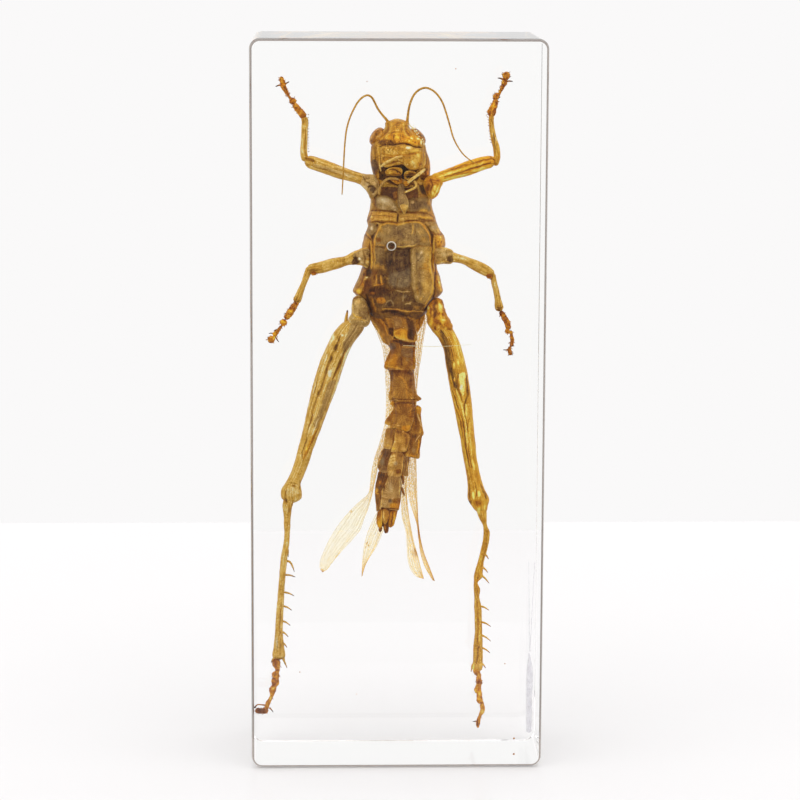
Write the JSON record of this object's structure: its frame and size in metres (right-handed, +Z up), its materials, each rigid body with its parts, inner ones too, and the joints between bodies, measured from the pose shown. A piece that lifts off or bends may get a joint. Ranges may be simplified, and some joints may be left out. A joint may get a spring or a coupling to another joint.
{
  "type": "insect in resin block",
  "caption": "Upright clear resin block with rounded edges, holding a dried grasshopper spread flat at mid-depth, its underside to the front.",
  "frame": {"origin": "centre of the block's foot, on the surface it stands on", "axes": "+Z up along the block's long side, -Y out of the front face towards which the insect's underside looks, +X to the viewer's right"},
  "size_m": [0.044, 0.023, 0.11],
  "materials": {
    "clear_resin": "polished",
    "insect_shell": "satin, dried horn-like shell"
  },
  "bodies": {
    "root": {"resin_front": "clear_resin", "resin_back": "clear_resin", "grasshopper": "insect_shell"}
  },
  "joints": []
}
